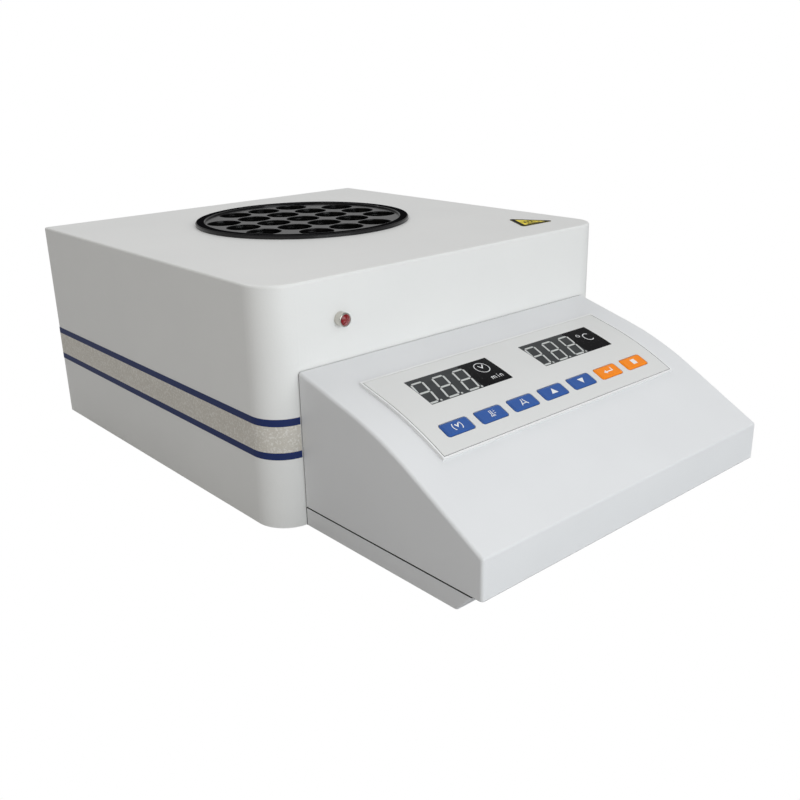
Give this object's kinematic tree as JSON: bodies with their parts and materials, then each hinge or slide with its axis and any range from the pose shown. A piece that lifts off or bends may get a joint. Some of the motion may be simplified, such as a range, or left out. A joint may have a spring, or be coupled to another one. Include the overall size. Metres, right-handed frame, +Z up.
{
  "type": "dry block heater",
  "caption": "Benchtop dry block heater with a round drilled aluminium block, a sloped control console, blue and orange keys and two digital displays.",
  "frame": {"origin": "on the bench, below the middle of the whole object", "axes": "+Z up, the control console faces -Y, +X is to the right as seen by the person at the console"},
  "size_m": [0.1904, 0.2869, 0.1017],
  "materials": {
    "case_paint": "fine textured",
    "zinc_steel": "satin",
    "rubber": "matte",
    "navy_film": "gloss",
    "silver_film": "satin",
    "yellow_film": "gloss",
    "black_plastic": "gloss",
    "block_metal": "black coated, glossy",
    "bare_aluminium": "satin",
    "mica": "matte",
    "wool": "matte",
    "ceramic": "satin",
    "bakelite": "satin",
    "bright_metal": "polished",
    "red_lens": "gloss",
    "board": "satin",
    "grey_parts": "satin",
    "green_parts": "satin",
    "wire_red": "satin",
    "wire_brown": "satin",
    "wire_grey": "satin",
    "console_plastic": "satin",
    "panel_plastic": "satin",
    "panel_print": "satin",
    "window": "gloss",
    "key_blue": "satin",
    "key_orange": "satin",
    "fuse_glass": "clear"
  },
  "bodies": {
    "heater": {"housing_cover": "case_paint", "rear_panel": "case_paint", "bottom_plate": "zinc_steel", "rubber_feet": "rubber", "foot_screws": "zinc_steel", "case_screws": "zinc_steel", "trim_band": "silver_film", "trim_stripes": "navy_film", "caution_label": "yellow_film", "block_collar": "black_plastic", "collar_gasket": "rubber", "heating_block": "block_metal", "heater_disc": "mica", "clamp_plate": "zinc_steel", "insulation_sleeve": "wool", "insulation_pad": "wool", "block_can": "zinc_steel", "block_bolts": "zinc_steel", "steel_spacers": "zinc_steel", "ceramic_spacers": "ceramic", "temperature_sensor": "zinc_steel", "thermal_cutout": "bakelite", "lamp_bezel": "bright_metal", "lamp_lens": "red_lens", "lamp_nut": "bright_metal", "power_entry": "black_plastic", "inlet_blades": "bright_metal", "rocker_pin": "zinc_steel", "power_board": "board", "board_posts": "zinc_steel", "transformer": "grey_parts", "heat_sink": "bare_aluminium", "triac": "bakelite", "terminal_blocks": "green_parts", "heater_wires": "wire_red", "mains_wires": "wire_brown", "sensor_cable": "wire_grey", "console_shell": "console_plastic", "console_base": "console_plastic", "console_screws": "zinc_steel", "panel_bezel": "panel_plastic", "panel_film": "panel_print", "display_windows": "window", "panel_clips": "zinc_steel", "display_modules": "grey_parts", "display_board": "board", "key_board": "board", "key_switches": "bakelite", "board_screws": "zinc_steel", "ribbon_cable": "wire_grey"},
    "fuse_carrier": {"fuse_drawer": "black_plastic", "fuse": "fuse_glass"},
    "rocker": {"power_rocker": "black_plastic"},
    "key_time_cap": {"key_time": "key_blue"},
    "key_temperature_cap": {"key_temperature": "key_blue"},
    "key_program_cap": {"key_program": "key_blue"},
    "key_up_cap": {"key_up": "key_blue"},
    "key_down_cap": {"key_down": "key_blue"},
    "key_enter_cap": {"key_enter": "key_orange"},
    "key_stop_cap": {"key_stop": "key_orange"}
  },
  "joints": [
    {"name": "drawer_slide", "type": "slide", "parent": "heater", "child": "fuse_carrier", "axis": [0, 1, 0], "range_m": [0, 0.014]},
    {"name": "rocker_hinge", "type": "hinge", "parent": "heater", "child": "rocker", "pos_m": [-0.062, 0.13795, 0.0646], "axis": [1, 0, 0], "range_deg": [-16, 0]},
    {"name": "key_time_press", "type": "slide", "parent": "heater", "child": "key_time_cap", "axis": [0, 0.4255, -0.905], "range_m": [0, 0.0004], "stiffness_N_per_m": 3000, "springref_m": -0.0002},
    {"name": "key_temperature_press", "type": "slide", "parent": "heater", "child": "key_temperature_cap", "axis": [0, 0.4255, -0.905], "range_m": [0, 0.0004], "stiffness_N_per_m": 3000, "springref_m": -0.0002},
    {"name": "key_program_press", "type": "slide", "parent": "heater", "child": "key_program_cap", "axis": [0, 0.4255, -0.905], "range_m": [0, 0.0004], "stiffness_N_per_m": 3000, "springref_m": -0.0002},
    {"name": "key_up_press", "type": "slide", "parent": "heater", "child": "key_up_cap", "axis": [0, 0.4255, -0.905], "range_m": [0, 0.0004], "stiffness_N_per_m": 3000, "springref_m": -0.0002},
    {"name": "key_down_press", "type": "slide", "parent": "heater", "child": "key_down_cap", "axis": [0, 0.4255, -0.905], "range_m": [0, 0.0004], "stiffness_N_per_m": 3000, "springref_m": -0.0002},
    {"name": "key_enter_press", "type": "slide", "parent": "heater", "child": "key_enter_cap", "axis": [0, 0.4255, -0.905], "range_m": [0, 0.0004], "stiffness_N_per_m": 3000, "springref_m": -0.0002},
    {"name": "key_stop_press", "type": "slide", "parent": "heater", "child": "key_stop_cap", "axis": [0, 0.4255, -0.905], "range_m": [0, 0.0004], "stiffness_N_per_m": 3000, "springref_m": -0.0002}
  ]
}
